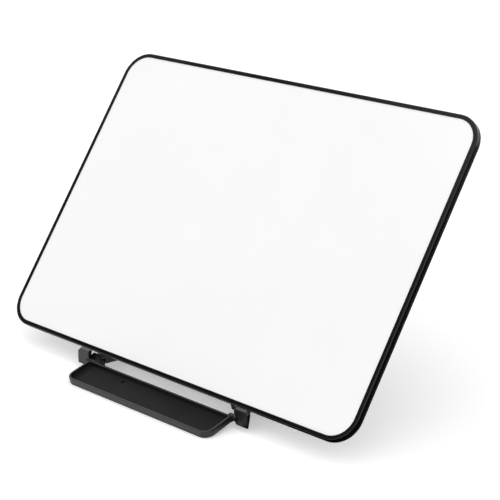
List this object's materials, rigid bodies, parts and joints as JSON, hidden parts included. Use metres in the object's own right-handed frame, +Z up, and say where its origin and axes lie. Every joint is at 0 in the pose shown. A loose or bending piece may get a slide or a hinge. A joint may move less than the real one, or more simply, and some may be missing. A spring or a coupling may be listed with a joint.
{
  "type": "desk whiteboard easel",
  "caption": "Magnetic desk whiteboard in a black frame, tilting on a low folding base with a notched prop, with a hinged pen tray along its front.",
  "frame": {"origin": "on the desk, at the middle of the object's footprint as it stands with the tray down", "axes": "+X along the board's width to the user's right, +Y away from the user, +Z up"},
  "size_m": [0.42, 0.2208, 0.2572],
  "materials": {
    "panel_enamel": "gloss",
    "bezel_plastic": "satin",
    "cover_plastic": "matte",
    "core_card": "matte",
    "leaf_steel": "satin",
    "screw_steel": "satin",
    "pin_steel": "polished",
    "stand_plastic": "satin",
    "bracket_plastic": "satin",
    "tray_plastic": "satin",
    "roller_plastic": "satin",
    "foot_rubber": "matte"
  },
  "bodies": {
    "base": {"left_side_rail": "stand_plastic", "right_side_rail": "stand_plastic", "left_front_bracket": "bracket_plastic", "right_front_bracket": "bracket_plastic", "mid_crossbar": "stand_plastic", "rear_crossbar": "stand_plastic", "left_rack": "stand_plastic", "right_rack": "stand_plastic", "frame_screws": "screw_steel", "rubber_feet": "foot_rubber", "left_hinge_pin": "pin_steel", "right_hinge_pin": "pin_steel", "left_tray_pin": "pin_steel", "right_tray_pin": "pin_steel"},
    "board": {"whiteboard_panel": "panel_enamel", "front_bezel": "bezel_plastic", "back_cover": "cover_plastic", "honeycomb_core": "core_card", "left_hinge_leaf": "leaf_steel", "right_hinge_leaf": "leaf_steel", "hinge_leaf_screws": "screw_steel", "left_prop_clevis": "leaf_steel", "right_prop_clevis": "leaf_steel", "prop_clevis_screws": "screw_steel", "prop_pivot_pins": "pin_steel"},
    "prop": {"prop_frame": "stand_plastic", "slider_rod": "pin_steel", "slider_rollers": "roller_plastic"},
    "tray": {"pen_tray": "tray_plastic"}
  },
  "joints": [
    {"name": "board_tilt", "type": "hinge", "parent": "base", "child": "board", "pos_m": [0, -0.06949, 0.0123], "axis": [1, 0, 0], "range_deg": [-52.9, 0]},
    {"name": "prop_swing", "type": "hinge", "parent": "board", "child": "prop", "pos_m": [0, -0.01829, 0.07635], "axis": [1, 0, 0], "range_deg": [0, 105.8]},
    {"name": "tray_fold", "type": "hinge", "parent": "base", "child": "tray", "pos_m": [0, -0.07679, 0.0099], "axis": [1, 0, 0], "range_deg": [-80, 0]}
  ],
  "couplings": [
    {"joint": "prop_swing", "follows": "board_tilt", "ratio": -2}
  ]
}
